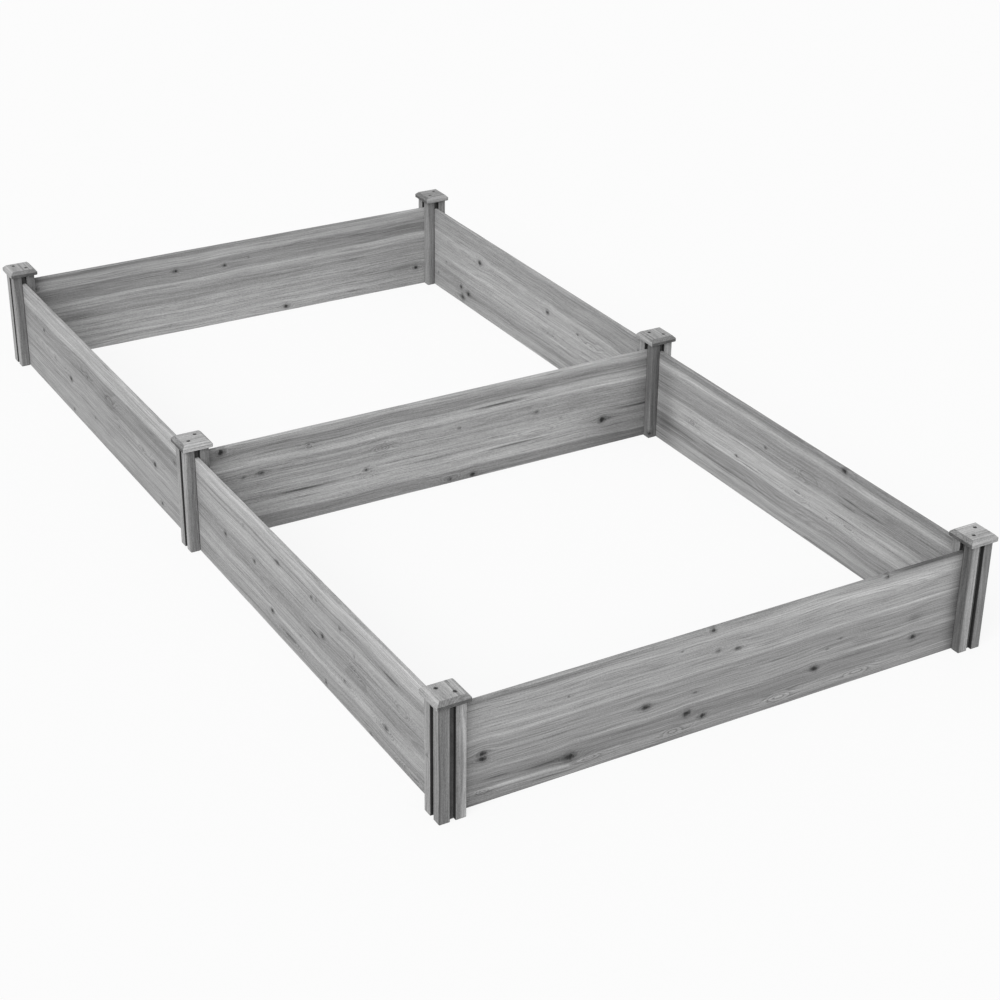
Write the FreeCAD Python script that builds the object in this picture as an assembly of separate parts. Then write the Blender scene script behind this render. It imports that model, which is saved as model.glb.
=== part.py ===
"""Raised garden bed with two planting bays, put together without tools.

Seven thin boards stand on edge.  Their ends sit in the grooves of six posts.
Each post is four square battens glued round a cross-shaped core, so that a
groove runs up the middle of every side, and a square cap is screwed on top.

The bed's frame: origin at the bottom centre of the whole bed, +X to the right
across the bed, +Y along the bed from the near end to the far end, +Z up.
All sizes are in millimetres.
"""
import FreeCAD, Part
import os

# ---------------------------------------------------------------- the bed
POST_PITCH_ACROSS = 1160.0   # post centre to post centre, along X
BAY_PITCH = 1100.0           # post centre to post centre, along Y, in each bay
BAY_COUNT = 2

# ---------------------------------------------------------------- the boards
BOARD_THICKNESS = 10.0
BOARD_HEIGHT = 217.0
BOARD_EDGE_ROUND = 1.0       # eased long edges

# ---------------------------------------------------------------- the posts
BATTEN_WIDTH = 21.5          # square section
POST_ABOVE_BOARDS = 22.0     # from the boards' top to the cap
BATTEN_EDGE_ROUND = 1.5      # eased long edges
BATTEN_FOOT_CHAMFER = 1.0
GROOVE_DEPTH = 8.0           # from the post's face to the core

# ---------------------------------------------------------------- the caps
CAP_OVERHANG = 7.1           # past the post's face, on all four sides
CAP_THICKNESS = 15.0
CAP_BEVEL = 7.5              # planed off the four top edges, at 45 degrees
CAP_BEVEL_EASE = 0.6         # the bevels' sharp lines, eased
CAP_CORNER_ROUND = 3.5       # upright corners, seen from above
CAP_UNDER_ROUND = 1.5

# ---------------------------------------------------------------- the cap screws
SCREW_FROM_GROOVE = 6.5      # from the groove's side into the batten, along X and Y
SCREW_LENGTH = 40.0
SCREW_SHANK_DIAMETER = 4.0
SCREW_HEAD_DIAMETER = 8.0
SCREW_HEAD_RIM = 0.4         # height of the head's straight rim
SCREW_TIP_LENGTH = 6.0
SCREW_TIP_DIAMETER = 0.6
SCREW_SUNK = 0.6             # head's top below the cap's top
RECESS_SPAN = 4.6            # cross recess in the head
RECESS_WIDTH = 1.2
RECESS_DEPTH = 1.7
SCREW_TURN = 137.0           # degrees from one screw's cross to the next one's

# ---------------------------------------------------------------- fits
GROOVE_SIDE_CLEARANCE = 0.4  # each side of a board in its groove
BOARD_END_CLEARANCE = 1.0    # board's end to the core
COUNTERSINK_CLEARANCE = 0.2  # round the screw's head
SHANK_CLEARANCE = 0.15       # round the shank, through the cap
PILOT_CLEARANCE = 0.05       # round the shank, in the batten
PILOT_EXTRA_DEPTH = 1.5      # past the screw's tip

# ---------------------------------------------------------------- worked out from those
GROOVE_WIDTH = BOARD_THICKNESS + 2 * GROOVE_SIDE_CLEARANCE
POST_WIDTH = 2 * BATTEN_WIDTH + GROOVE_WIDTH
CORE_WIDTH = POST_WIDTH - 2 * GROOVE_DEPTH
CORE_ARM = (CORE_WIDTH - GROOVE_WIDTH) / 2
BATTEN_HEIGHT = BOARD_HEIGHT + POST_ABOVE_BOARDS
CAP_WIDTH = POST_WIDTH + 2 * CAP_OVERHANG
CAP_TOP = BATTEN_HEIGHT + CAP_THICKNESS
BOARD_IN_GROOVE = GROOVE_DEPTH - BOARD_END_CLEARANCE
SHORT_BOARD_LENGTH = POST_PITCH_ACROSS - POST_WIDTH + 2 * BOARD_IN_GROOVE
LONG_BOARD_LENGTH = BAY_PITCH - POST_WIDTH + 2 * BOARD_IN_GROOVE
SCREW_FROM_AXIS = GROOVE_WIDTH / 2 + SCREW_FROM_GROOVE
SCREW_TOP = CAP_TOP - SCREW_SUNK
SCREW_TIP = SCREW_TOP - SCREW_LENGTH
SHANK_RADIUS = SCREW_SHANK_DIAMETER / 2
HEAD_RADIUS = SCREW_HEAD_DIAMETER / 2
HEAD_CONE = HEAD_RADIUS - SHANK_RADIUS          # 90 degree countersunk head
HALF_ACROSS = POST_PITCH_ACROSS / 2
HALF_ALONG = BAY_PITCH * BAY_COUNT / 2

ROWS = ["near", "mid", "far"]
ROW_Y = {row: number * BAY_PITCH - HALF_ALONG for number, row in enumerate(ROWS)}
SIDE_X = {"left": -HALF_ACROSS, "right": HALF_ACROSS}

# The six posts are one stock item.  Along the bed and across it, each is turned
# a quarter turn from its neighbour: caps and core boards then run along Y or X.
ALONG_Y = {("near", "left"), ("mid", "right"), ("far", "left")}


def box(size_x, size_y, size_z, centre_x, centre_y, bottom_z):
    """A box by its sizes, the centre of its plan and its bottom."""
    corner = FreeCAD.Vector(centre_x - size_x / 2, centre_y - size_y / 2, bottom_z)
    return Part.makeBox(size_x, size_y, size_z, corner)


def edges_along(shape, direction):
    """The shape's straight edges that run along one axis direction."""
    found = []
    for edge in shape.Edges:
        start = edge.Vertexes[0].Point
        span = edge.Vertexes[-1].Point.sub(start)
        if span.Length > 0 and abs(span.dot(direction)) > 0.999 * span.Length:
            found.append(edge)
    return found


def edges_at_height(shape, height):
    """The shape's edges that lie level at one height."""
    return [e for e in shape.Edges
            if abs(e.BoundBox.ZMin - height) < 1e-6 and abs(e.BoundBox.ZMax - height) < 1e-6]


def turned_profile(points, x, y):
    """A solid of revolution about the upright line at x, y, from (radius, z) points."""
    corners = [FreeCAD.Vector(radius, 0, z) for radius, z in points]
    face = Part.Face(Part.makePolygon(corners + corners[:1]))
    solid = face.revolve(FreeCAD.Vector(0, 0, 0), FreeCAD.Vector(0, 0, 1), 360)
    solid.translate(FreeCAD.Vector(x, y, 0))
    return solid


def save(node, solids):
    """Writes one node: a single solid, or a group of separate solids."""
    shape = solids[0] if len(solids) == 1 else Part.makeCompound(solids)
    shape.exportStep(os.path.join("parts", node + ".step"))
    volume = sum(solid.Volume for solid in solids)
    valid = all(solid.isValid() for solid in solids)
    print(f"{node}: {len(solids)} solid(s), {volume / 1000:.1f} cm3, valid {valid}")


# ---------------------------------------------------------------- boards
def board(length, direction, x, y):
    """A board on edge with its long edges eased, centred at x, y."""
    if direction.x:
        blank = box(length, BOARD_THICKNESS, BOARD_HEIGHT, x, y, 0)
    else:
        blank = box(BOARD_THICKNESS, length, BOARD_HEIGHT, x, y, 0)
    return blank.makeFillet(BOARD_EDGE_ROUND, edges_along(blank, direction))


def make_boards():
    across = FreeCAD.Vector(1, 0, 0)
    along = FreeCAD.Vector(0, 1, 0)
    short_names = {"near": "near_board", "mid": "divider_board", "far": "far_board"}
    for row in ROWS:
        save(short_names[row], [board(SHORT_BOARD_LENGTH, across, 0, ROW_Y[row])])
    for side in SIDE_X:
        for bay, start in (("near", "near"), ("far", "mid")):
            middle = ROW_Y[start] + BAY_PITCH / 2
            save(f"{side}_{bay}_board", [board(LONG_BOARD_LENGTH, along, SIDE_X[side], middle)])


# ---------------------------------------------------------------- posts
def screw_places(x, y, along_y):
    """The two screws stand on one diagonal of the cap, which turns with the post."""
    sign = -1 if along_y else 1
    return [(x - SCREW_FROM_AXIS, y - sign * SCREW_FROM_AXIS),
            (x + SCREW_FROM_AXIS, y + sign * SCREW_FROM_AXIS)]


def batten(x, y):
    """A square batten with eased long edges and a small chamfer round its foot."""
    blank = box(BATTEN_WIDTH, BATTEN_WIDTH, BATTEN_HEIGHT, x, y, 0)
    eased = blank.makeFillet(BATTEN_EDGE_ROUND, edges_along(blank, FreeCAD.Vector(0, 0, 1)))
    return eased.makeChamfer(BATTEN_FOOT_CHAMFER, edges_at_height(eased, 0))


def pilot_hole(x, y):
    """The hole that a cap screw bites in, with the drill's cone at its end."""
    radius = SHANK_RADIUS + PILOT_CLEARANCE
    end = SCREW_TIP - PILOT_EXTRA_DEPTH
    profile = [(0, BATTEN_HEIGHT), (radius, BATTEN_HEIGHT), (radius, end + radius), (0, end)]
    return turned_profile(profile, x, y)


def make_battens(post, x, y, screws):
    """Four battens at the post's corners; the screwed ones have a pilot hole."""
    from_axis = (GROOVE_WIDTH + BATTEN_WIDTH) / 2
    for row, sign_y in (("near", -1), ("far", 1)):
        for side, sign_x in (("left", -1), ("right", 1)):
            place = (x + sign_x * from_axis, y + sign_y * from_axis)
            wood = batten(*place)
            for screw_x, screw_y in screws:
                if max(abs(screw_x - place[0]), abs(screw_y - place[1])) < BATTEN_WIDTH / 2:
                    wood = wood.cut(pilot_hole(screw_x, screw_y))
            save(f"{post}_batten_{row}_{side}", wood.Solids)


def make_core(post, x, y, along_y):
    """One board through the post's middle and a strip on each side of it."""
    strip_from_axis = (GROOVE_WIDTH + CORE_ARM) / 2
    if along_y:
        wide = box(GROOVE_WIDTH, CORE_WIDTH, BATTEN_HEIGHT, x, y, 0)
        strips = [box(CORE_ARM, GROOVE_WIDTH, BATTEN_HEIGHT, x + sign * strip_from_axis, y, 0)
                  for sign in (-1, 1)]
    else:
        wide = box(CORE_WIDTH, GROOVE_WIDTH, BATTEN_HEIGHT, x, y, 0)
        strips = [box(GROOVE_WIDTH, CORE_ARM, BATTEN_HEIGHT, x, y + sign * strip_from_axis, 0)
                  for sign in (-1, 1)]
    save(f"{post}_core_board", [wide])
    save(f"{post}_core_strips", strips)


def countersunk_hole(x, y):
    """The cap's hole for one screw: a sunk cone, then a plain hole through."""
    head = HEAD_RADIUS + COUNTERSINK_CLEARANCE
    shank = SHANK_RADIUS + SHANK_CLEARANCE
    rim_bottom = SCREW_TOP - SCREW_HEAD_RIM
    profile = [(0, CAP_TOP), (head, CAP_TOP), (head, rim_bottom),
               (shank, rim_bottom - (head - shank)), (shank, BATTEN_HEIGHT), (0, BATTEN_HEIGHT)]
    return turned_profile(profile, x, y)


def bevelled_bar(x, y, turn):
    """A bar along Y, or turned from it, with the cap's flat top and 45 degree sides."""
    flat = CAP_WIDTH / 2 - CAP_BEVEL
    eaves = flat + CAP_THICKNESS
    section = [(-eaves, 0), (eaves, 0), (flat, CAP_THICKNESS), (-flat, CAP_THICKNESS), (-eaves, 0)]
    corners = [FreeCAD.Vector(aside, -eaves, up) for aside, up in section]
    bar = Part.Face(Part.makePolygon(corners)).extrude(FreeCAD.Vector(0, 2 * eaves, 0))
    bar.rotate(FreeCAD.Vector(0, 0, 0), FreeCAD.Vector(0, 0, 1), turn)
    bar.translate(FreeCAD.Vector(x, y, BATTEN_HEIGHT))
    return bar


def make_cap(post, x, y, screws):
    """A square of board with rounded corners, four top bevels and two screw holes."""
    blank = box(CAP_WIDTH, CAP_WIDTH, CAP_THICKNESS, x, y, BATTEN_HEIGHT)
    cap = blank.makeFillet(CAP_CORNER_ROUND, edges_along(blank, FreeCAD.Vector(0, 0, 1)))
    cap = cap.makeFillet(CAP_UNDER_ROUND, edges_at_height(cap, BATTEN_HEIGHT))
    cap = cap.common(bevelled_bar(x, y, 0)).common(bevelled_bar(x, y, 90))
    cap = cap.makeFillet(CAP_BEVEL_EASE, edges_at_height(cap, CAP_TOP))
    for screw_x, screw_y in screws:
        cap = cap.cut(countersunk_hole(screw_x, screw_y))
    save(f"{post}_cap", cap.Solids)


def cross_recess(x, y, turn):
    """The plus-shaped pocket in a screw's head, turned by its own angle."""
    reach, half = RECESS_SPAN / 2, RECESS_WIDTH / 2
    arm = [(reach, -half), (reach, half), (half, half)]
    corners = []
    for quarter in range(4):
        for along, aside in arm:
            corners.append(FreeCAD.Vector(along, aside, SCREW_TOP - RECESS_DEPTH))
        arm = [(-aside, along) for along, aside in arm]
    outline = Part.Face(Part.makePolygon(corners + corners[:1]))
    pocket = outline.extrude(FreeCAD.Vector(0, 0, RECESS_DEPTH + SCREW_SUNK))
    pocket.rotate(FreeCAD.Vector(0, 0, 0), FreeCAD.Vector(0, 0, 1), turn % 90)
    pocket.translate(FreeCAD.Vector(x, y, 0))
    return pocket


def cap_screw(x, y, turn):
    """A countersunk wood screw with a cross recess, its thread left plain."""
    rim_bottom = SCREW_TOP - SCREW_HEAD_RIM
    tip_top = SCREW_TIP + SCREW_TIP_LENGTH
    profile = [(0, SCREW_TOP), (HEAD_RADIUS, SCREW_TOP), (HEAD_RADIUS, rim_bottom),
               (SHANK_RADIUS, rim_bottom - HEAD_CONE), (SHANK_RADIUS, tip_top),
               (SCREW_TIP_DIAMETER / 2, SCREW_TIP), (0, SCREW_TIP)]
    return turned_profile(profile, x, y).cut(cross_recess(x, y, turn)).Solids[0]


def make_posts():
    turn = 0.0
    for row in ROWS:
        for side in SIDE_X:
            post = f"{row}_{side}_post"
            x, y = SIDE_X[side], ROW_Y[row]
            along_y = (row, side) in ALONG_Y
            screws = screw_places(x, y, along_y)
            make_battens(post, x, y, screws)
            make_core(post, x, y, along_y)
            make_cap(post, x, y, screws)
            pair = []
            for place in screws:
                pair.append(cap_screw(*place, turn))
                turn += SCREW_TURN
            save(f"{post}_cap_screws", pair)


os.makedirs("parts", exist_ok=True)
make_boards()
make_posts()
print(f"bed over the caps: {POST_PITCH_ACROSS + CAP_WIDTH:.1f} x "
      f"{2 * HALF_ALONG + CAP_WIDTH:.1f} x {CAP_TOP:.1f} mm")
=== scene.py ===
# %% [markdown]
# # A raised garden bed in grey, weathered fir
#
# The bed is seven thin boards on edge, six grooved posts and six square caps.
# The imported model already holds every piece at its true size, and this lesson
# gives the pieces their wood: boards glued up from staves, knots with the grain
# flowing round them, pale and dark streaks, sawn battens and screwed caps.
#
# We start by loading the frame.

import math

import bpy
import numpy as np
from mathutils import Matrix, Vector


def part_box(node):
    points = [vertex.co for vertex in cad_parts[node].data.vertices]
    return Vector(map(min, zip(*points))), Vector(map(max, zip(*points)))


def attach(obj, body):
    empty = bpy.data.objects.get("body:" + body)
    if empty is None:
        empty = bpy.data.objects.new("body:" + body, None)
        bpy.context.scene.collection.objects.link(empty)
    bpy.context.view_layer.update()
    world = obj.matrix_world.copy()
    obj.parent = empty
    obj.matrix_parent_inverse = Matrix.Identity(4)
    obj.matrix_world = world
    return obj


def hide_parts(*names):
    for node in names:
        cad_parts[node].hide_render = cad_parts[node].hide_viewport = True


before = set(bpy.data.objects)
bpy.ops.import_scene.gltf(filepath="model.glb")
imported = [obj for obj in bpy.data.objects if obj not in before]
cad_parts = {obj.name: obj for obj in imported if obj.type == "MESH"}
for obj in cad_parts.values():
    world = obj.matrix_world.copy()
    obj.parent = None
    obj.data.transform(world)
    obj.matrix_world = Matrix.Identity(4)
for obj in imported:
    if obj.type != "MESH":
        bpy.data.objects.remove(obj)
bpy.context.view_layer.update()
MM = 0.001

# %% [markdown]
# ## The camera
#
# A long lens, above and to the left of the near left post, looks down along the
# bed.  Its place, its turn and its focal length were found once, by fitting the
# bed's corners to the photograph.  A camera looks along its own -Z, so we build
# its axes from three angles: how far it is turned to the right, tipped down and
# rolled.

# %% The camera
CAMERA_PLACE = (-2.007, -3.711, 2.173)
TURNED_RIGHT = math.radians(30.34)
TIPPED_DOWN = math.radians(27.65)
ROLLED = math.radians(0.78)
FOCAL_PIXELS = 2100.5
IMAGE_PIXELS = 1000.0


def camera_axes(turn, tip, roll):
    """Right, up and back of a camera: forward is turned from +Y towards +X and tipped down,
    right is level, and both right and up then roll about the view line."""
    forward = Vector((math.sin(turn) * math.cos(tip), math.cos(turn) * math.cos(tip), -math.sin(tip)))
    level = Vector((math.cos(turn), -math.sin(turn), 0))
    upright = level.cross(forward)
    right = level * math.cos(roll) + upright * math.sin(roll)
    up = upright * math.cos(roll) - level * math.sin(roll)
    return right, up, -forward


lens = bpy.data.cameras.new("camera")
lens.sensor_width = 36.0
lens.lens = FOCAL_PIXELS / IMAGE_PIXELS * lens.sensor_width
camera = bpy.data.objects.new("camera", lens)
bpy.context.scene.collection.objects.link(camera)
axes = camera_axes(TURNED_RIGHT, TIPPED_DOWN, ROLLED)
camera.matrix_world = Matrix.Translation(CAMERA_PLACE) @ Matrix(axes).transposed().to_4x4()
bpy.context.scene.camera = camera
print(f"camera: {lens.lens:.1f} mm lens")

# %% [markdown]
# ## Helpers for material nodes
#
# A material is a small graph of nodes.  Made by hand it takes many lines, so two
# helpers add one node each: the first sets a node's inputs, linking a socket and
# storing a number, and the second does one sum and gives back its result.

# %% Node helpers


def add_node(tree, kind, inputs=None, **settings):
    """Adds one node, with its settings, and its inputs linked or set."""
    made = tree.nodes.new(kind)
    for setting, value in settings.items():
        setattr(made, setting, value)
    for socket, value in (inputs or {}).items():
        if isinstance(value, bpy.types.NodeSocket):
            tree.links.new(value, made.inputs[socket])
        else:
            made.inputs[socket].default_value = value
    return made


def sum_node(tree, operation, first, second=0.0, third=0.0):
    """One Math node, and its result."""
    values = {0: first, 1: second, 2: third}
    return add_node(tree, "ShaderNodeMath", values, operation=operation).outputs[0]


def spread(tree, value, low, high, to_low=0.0, to_high=1.0):
    """A value carried smoothly from one range to another, and held at its ends."""
    ranges = {"Value": value, "From Min": low, "From Max": high, "To Min": to_low, "To Max": to_high}
    return add_node(tree, "ShaderNodeMapRange", ranges, interpolation_type="SMOOTHSTEP").outputs[0]


def stretched_noise(tree, place, per_metre, detail=3.0, rough=0.55):
    """Noise about zero, with its own number of waves per metre along each axis of place."""
    scaled = add_node(tree, "ShaderNodeVectorMath", {0: place, 1: per_metre}, operation="MULTIPLY")
    inputs = {"Vector": scaled.outputs[0], "Scale": 1.0, "Detail": detail, "Roughness": rough}
    noise = add_node(tree, "ShaderNodeTexNoise", inputs)
    return sum_node(tree, "SUBTRACT", noise.outputs[0], 0.5)


def new_material(name):
    """An empty material with an output, and its node tree."""
    material = bpy.data.materials.new(name)
    material.use_nodes = True
    material.node_tree.nodes.clear()
    return material, material.node_tree


# %% [markdown]
# ## Weathered fir
#
# Grey fir is made of a few layers: wide soft clouds, streaks that run the length
# of a board, finer bands and fibres, growth rings that darken slowly and end
# sharply, short drying checks, and knots.  All of them follow the grain, so the
# noise is stretched along the first axis of a "place" that is the wood's own:
# along the grain, into the board, across the board.
#
# The finish takes six inputs.  On the sawn pieces they are attributes of the
# mesh, worked out below.  On the caps and cores they come from object
# coordinates.  The same layers drive colour, roughness and bump, so a check is
# dark and sunk at once.

# %% The wood's layers
WOOD_GREY = 0.338          # the middle tone of the wood, as a light value
RING_PITCH = 3.6 * MM      # from one growth ring to the next
RING_STRAY = 1.6           # how far the clouds push the rings, in rings
LATE_WOOD = (0.25, 0.9)    # the shares of a year where it starts, and where it is darkest
VIVID_DARK = 0.36          # how much more late wood darkens round an oval
NOWHERE = 0.0              # no knot and no arris near by

# From the noise of a dark and of a pale streak: how much late wood darkens, and the change of tone
# along a worn arris.
RING_DARK = (-0.12, 0.16, 0.05, 0.18)
RUBBED = (-0.15, 0.15, -0.10, 0.22)

# Each layer of the tone: its waves per metre (along, into and across), its detail and its weight.
TONE_LAYERS = {
    "cloud": ((2.2, 14.0, 14.0), 2.0, 0.22),
    "streak": ((1.3, 60.0, 95.0), 3.0, 0.75),
    "band": ((3.0, 180.0, 340.0), 3.0, 0.94),
    "fibre": ((14.0, 600.0, 760.0), 3.0, 1.05),
    "grit": ((260.0, 900.0, 1100.0), 2.0, 1.0),
}
# Each sunk layer: waves per metre, the noise where it starts and is full, and the light that it leaves.
SUNK_LAYERS = {
    "checks": ((7.0, 150.0, 330.0), 0.17, 0.24, 0.66),
    "flecks": ((30.0, 300.0, 420.0), 0.20, 0.27, 0.84),
}
# A knot's halo, core and heart: the nearness where each starts and is full, the light that it leaves.
KNOT_SHADES = ((0.05, 0.62, 0.64), (0.61, 0.82, 0.34), (0.82, 1.0, 0.30))
KNOT_RAG = ((150.0, 260.0, 260.0), 4.0, 0.7)   # waves per metre, detail and roughness
KNOT_RAGGED = 1.1                              # how much they tear a knot's rim

MATT = (0.80, 0.35)        # the roughness, and how much the bands change it
KNOT_SHINE = (0.3, 0.6, 0.75)   # the nearness where it starts and is full, the roughness that it leaves
FIR_MIRROR = 0.25          # half the mirroring of a plain surface
RELIEF = 0.5 * MM          # from the relief's lowest place to its highest
RELIEF_STRENGTH = 0.45
RELIEF_SHARES = {"fibre": 0.8, "band": 0.5, "checks": -0.7, "flecks": -0.3}


def growth_rings(tree, ring, cloud, streak, vivid):
    """How much the late wood darkens: it rises slowly through each year and ends sharply, and
    it is deepest in pale streaks and round ovals."""
    turns = sum_node(tree, "DIVIDE", ring, RING_PITCH)
    turns = sum_node(tree, "MULTIPLY_ADD", cloud, RING_STRAY, turns)
    year = sum_node(tree, "FRACT", turns)
    rise, fall = spread(tree, year, *LATE_WOOD), spread(tree, year, 1.0, LATE_WOOD[1])
    late_wood = sum_node(tree, "MULTIPLY", rise, fall)
    dark = spread(tree, streak, *RING_DARK)
    dark = sum_node(tree, "MULTIPLY_ADD", vivid, VIVID_DARK, dark)
    return sum_node(tree, "MULTIPLY", late_wood, dark)


def lessened(tree, amount, value, start, full, left):
    """An amount times a share that falls from one to what is left, as value goes from start to full."""
    return sum_node(tree, "MULTIPLY", amount, spread(tree, value, start, full, 1.0, left))


def grain_bump(tree, rings, noises):
    """A bump normal from the late wood and each layer times its share: fibres and bands stand
    up, and checks and flecks are sunk."""
    height = rings
    for name, share in RELIEF_SHARES.items():
        height = sum_node(tree, "MULTIPLY_ADD", noises[name], share, height)
    sockets = {"Height": height, "Strength": RELIEF_STRENGTH, "Distance": RELIEF}
    return add_node(tree, "ShaderNodeBump", sockets).outputs[0]


# %% The wood finish


def wood_surface(tree, place, ring, tone, knot, wear, vivid):
    """Colour, roughness and bump of weathered fir from the wood's own place, the distance to
    the pith, a tone, and the nearness of a knot (a half at its rim), of an arris and of an oval."""
    noises = {}
    layers = 1.0
    for name, (waves, detail, weight) in TONE_LAYERS.items():
        noises[name] = stretched_noise(tree, place, waves, detail)
        layers = sum_node(tree, "MULTIPLY_ADD", noises[name], weight, layers)
    rings = growth_rings(tree, ring, noises["cloud"], noises["streak"], vivid)
    layers = sum_node(tree, "SUBTRACT", layers, rings)

    for name, (waves, start, full, left) in SUNK_LAYERS.items():
        noises[name] = spread(tree, stretched_noise(tree, place, waves, 1.0), start, full)
        layers = lessened(tree, layers, noises[name], 0.0, 1.0, left)
    rag = stretched_noise(tree, place, *KNOT_RAG)
    ragged = sum_node(tree, "MULTIPLY_ADD", rag, KNOT_RAGGED, knot)
    for start, full, left in KNOT_SHADES:
        layers = lessened(tree, layers, ragged, start, full, left)

    rubbed = sum_node(tree, "MULTIPLY", wear, spread(tree, noises["streak"], *RUBBED))
    layers = sum_node(tree, "ADD", layers, rubbed)
    grey = sum_node(tree, "MULTIPLY", layers, tone)
    colour = sum_node(tree, "MULTIPLY", grey, WOOD_GREY)
    roughness = sum_node(tree, "MULTIPLY_ADD", noises["band"], MATT[1], MATT[0])
    roughness = lessened(tree, roughness, knot, *KNOT_SHINE)

    sockets = {"Base Color": colour, "Roughness": roughness, "Normal": grain_bump(tree, rings, noises)}
    shader = add_node(tree, "ShaderNodeBsdfPrincipled", sockets)
    shader.inputs["Specular IOR Level"].default_value = FIR_MIRROR
    add_node(tree, "ShaderNodeOutputMaterial", {"Surface": shader.outputs[0]})


def attribute(tree, name, output="Fac"):
    """One attribute of the mesh that wears the material."""
    return add_node(tree, "ShaderNodeAttribute", attribute_name=name).outputs[output]


sawn_fir, fir_tree = new_material("sawn_fir")
fir_place = attribute(fir_tree, "grain_place", "Vector")
fir_numbers = [attribute(fir_tree, name) for name in ("ring", "tone", "knot", "wear", "vivid")]
wood_surface(fir_tree, fir_place, *fir_numbers)
print("sawn_fir:", len(fir_tree.nodes), "nodes")

# %% [markdown]
# ## Sawn timber as a surface
#
# Every board and batten is a rounded rectangle carried along a straight line.
# The rectangle's points are a loop, the line's points are stations, and the mesh
# is the grid of the two.  A fan of triangles closes each end.
#
# A subdivided cube would also do, but here we know each point's place along the
# grain and its distance from the nearest arris, and that is what the wood needs.

# %% The section and the sweep
ARC_STEPS = 3


def evenly(start, end, step):
    """Places from start to end, both kept, about one step apart."""
    return np.linspace(start, end, max(2, int(round((end - start) / step)) + 1))


def rounded_section(depth, height, radius, step):
    """A closed loop round a rectangle whose corners are quarter circles, anticlockwise from the
    middle of the bottom: points, outward normals, and the distance to the nearest arris."""
    half_d, half_h = depth / 2 - radius, height / 2 - radius
    angles = np.linspace(-math.pi / 2, 0, ARC_STEPS + 1)
    arc = np.stack([np.cos(angles), np.sin(angles)], 1)
    up = evenly(-half_h, half_h, step)[1:-1]
    out = evenly(0, half_d, step)[1:-1]
    bottom = np.stack([np.r_[0.0, out], np.full(len(out) + 1, -half_h - radius)], 1)
    lower = np.array([half_d, -half_h]) + radius * arc
    side = np.stack([np.full(len(up), half_d + radius), up], 1)
    right = np.concatenate([bottom, lower, side])
    normals = np.concatenate([np.tile([0.0, -1.0], (len(bottom), 1)), arc, np.tile([1.0, 0.0], (len(up), 1))])
    half = len(bottom) + len(lower)
    top = right[:half][::-1] * [1, -1]
    top_normals = normals[:half][::-1] * [1, -1]
    right, normals = np.concatenate([right, top]), np.concatenate([normals, top_normals])
    left, left_normals = right[1:-1][::-1] * [-1, 1], normals[1:-1][::-1] * [-1, 1]
    loop, normals = np.concatenate([right, left]), np.concatenate([normals, left_normals])
    inside = np.stack([half_d + radius - np.abs(loop[:, 0]), half_h + radius - np.abs(loop[:, 1])], 1)
    return loop, normals, inside.max(1)


def swept_faces(stations, around):
    """Quads of the grid stations by around, closed round the loop, and a fan of triangles over
    each end, about two middle points that come after the grid's own points."""
    along, turn = np.meshgrid(np.arange(stations - 1), np.arange(around), indexing="ij")
    following = (turn + 1) % around
    sides = np.stack([along * around + turn, along * around + following,
                      (along + 1) * around + following, (along + 1) * around + turn], -1).reshape(-1, 4)
    rim = np.arange(around)
    onward = (rim + 1) % around
    middles = np.full(around, stations * around)
    last = (stations - 1) * around
    first_end = np.stack([onward, rim, middles], 1)
    last_end = np.stack([rim + last, onward + last, middles + 1], 1)
    return sides.tolist() + first_end.tolist() + last_end.tolist()


print("round a batten:", len(rounded_section(21.5, 21.5, 1.5, 1.9)[0]), "points")

# %% [markdown]
# ## Grain that flows round knots
#
# A knot is a branch that the trunk grew round.  Lines of grain that would run
# into it bend aside and close up again after it.  We work in the board's own
# place: along, depth and height.  Each knot pushes the height coordinate of the
# wood away from its centre, most at its rim, and fades within a few radii.
#
# The "ring" is the distance to the pith, which lies behind the board's face.  It
# swings a little nearer and further along the board, and where it lies right
# behind a stave, that draws pointed arches.  An oval adds a soft bump to it, and
# its rings close and stand out, because round it the other rings fade away.
#
# No knot is a neat round spot.  Each is stretched and slanted by its own amount,
# and it leaves a smoky tail along the grain, longer to one side.

# %% The numbers of the grain
EYE_TO_LIGHT = 2.27        # tones are given as the eye sees them: a power makes them light values
TONE_LIMITS = (0.35, 1.6)
WANDER = ((900, 420, 260), 1.3)        # slow waves of the grain along a piece: lengths and height
RIPPLE = ((60, 35), 0.4)               # small ones across it
RIPPLE_DRIFT = 0.02                    # how far the small ones drift across, per length
PITH_SWING = ((900, 520, 310), 4.5)    # how the pith comes nearer and goes away
PITH_BEHIND = 26.0                     # from the board's face, on average
PITH_ABOVE = (-70, 100)                # from its stave's lower joint
STAVE_BLUR = 1.2                       # of the joint between two staves
STAVE_FOLLOWS = 0.5                    # how much a joint follows the grain
MARK_FOLLOWS = 0.8                     # how much a mark does
STREAK_SHARE = 0.8                     # of its change of tone that a streak has on average
STREAK_FADE = ((700, 310), 0.25)       # how it comes and goes along the piece
STAVE_APART = 211.0                    # how far apart in the noise two staves are taken
PIECES_WITHIN = 40000.0                # the range of noise that the pieces are spread over
APART = (3, 1, 2)                      # the shares of both along, into and across the wood

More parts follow.
